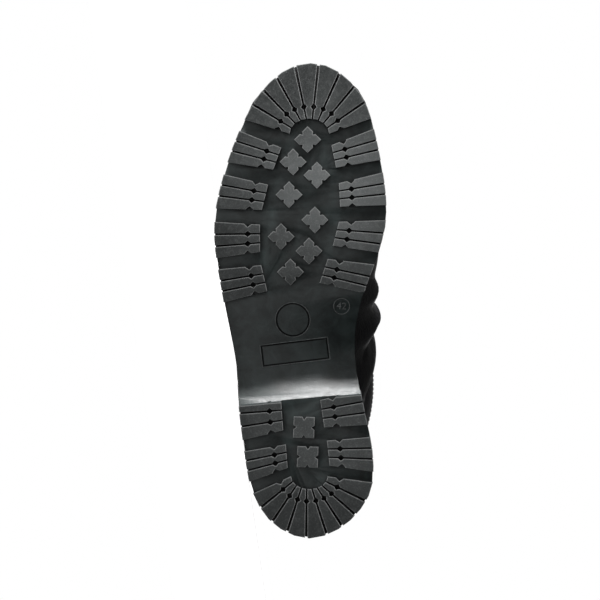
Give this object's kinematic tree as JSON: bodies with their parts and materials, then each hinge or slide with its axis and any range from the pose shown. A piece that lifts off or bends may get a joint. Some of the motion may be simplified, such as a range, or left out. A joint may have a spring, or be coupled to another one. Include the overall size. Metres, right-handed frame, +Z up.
{
  "type": "motorcycle boot",
  "caption": "Black leather pull-on motorcycle boot for the right foot, with ankle folds and a one-piece lugged rubber sole and heel, lying on its outer side",
  "frame": {"origin": "centre of the bounding box in X and Y, on the floor in Z, with the boot lying on its outer side", "axes": "Z up from the floor the boot lies on; -X towards the toe; -Y out of the tread and +Y towards the collar; the inner side of the boot faces up"},
  "size_m": [0.297, 0.2882, 0.1123],
  "materials": {
    "sole_rubber": "matt black rubber with a greenish cast, greyer on the lug faces",
    "boot_leather": "smooth black leather, glossy, with soft folds",
    "trim_leather": "smooth black leather, glossy, stitched at its edges",
    "insole_cloth": "dark felt"
  },
  "bodies": {
    "root": {"outsole": "sole_rubber", "insole": "insole_cloth", "upper": "boot_leather", "heel_counter": "trim_leather", "back_strip": "trim_leather", "collar_band": "trim_leather"}
  },
  "joints": []
}
